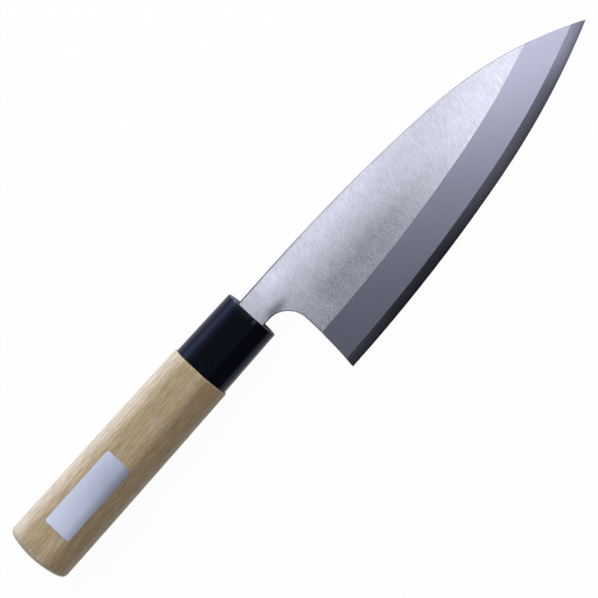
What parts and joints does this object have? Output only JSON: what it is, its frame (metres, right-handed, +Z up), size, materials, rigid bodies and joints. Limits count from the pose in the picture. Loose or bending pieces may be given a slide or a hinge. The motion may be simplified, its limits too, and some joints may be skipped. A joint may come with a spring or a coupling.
{
  "type": "deba knife",
  "caption": "Single-bevel kitchen knife for fish: thick two-layer steel blade, D-shaped wooden grip with a black ferrule, lying flat back down",
  "frame": {"origin": "middle of the knife's box, on the table that it lies on", "axes": "+X towards the tip, along the handle; +Y towards the spine; +Z up, out of the bevelled side"},
  "size_m": [0.3074, 0.0578, 0.0236],
  "materials": {
    "soft_steel": "ground across the flat side, blasted on the bevel",
    "hard_steel": "polished",
    "ho_wood": "sanded, bare",
    "black_plastic": "glossy",
    "resin": "matt",
    "label_film": "satin"
  },
  "bodies": {
    "root": {"blade_body": "soft_steel", "edge_steel": "hard_steel", "grip": "ho_wood", "ferrule": "black_plastic", "tang_bedding": "resin", "label": "label_film"}
  },
  "joints": []
}
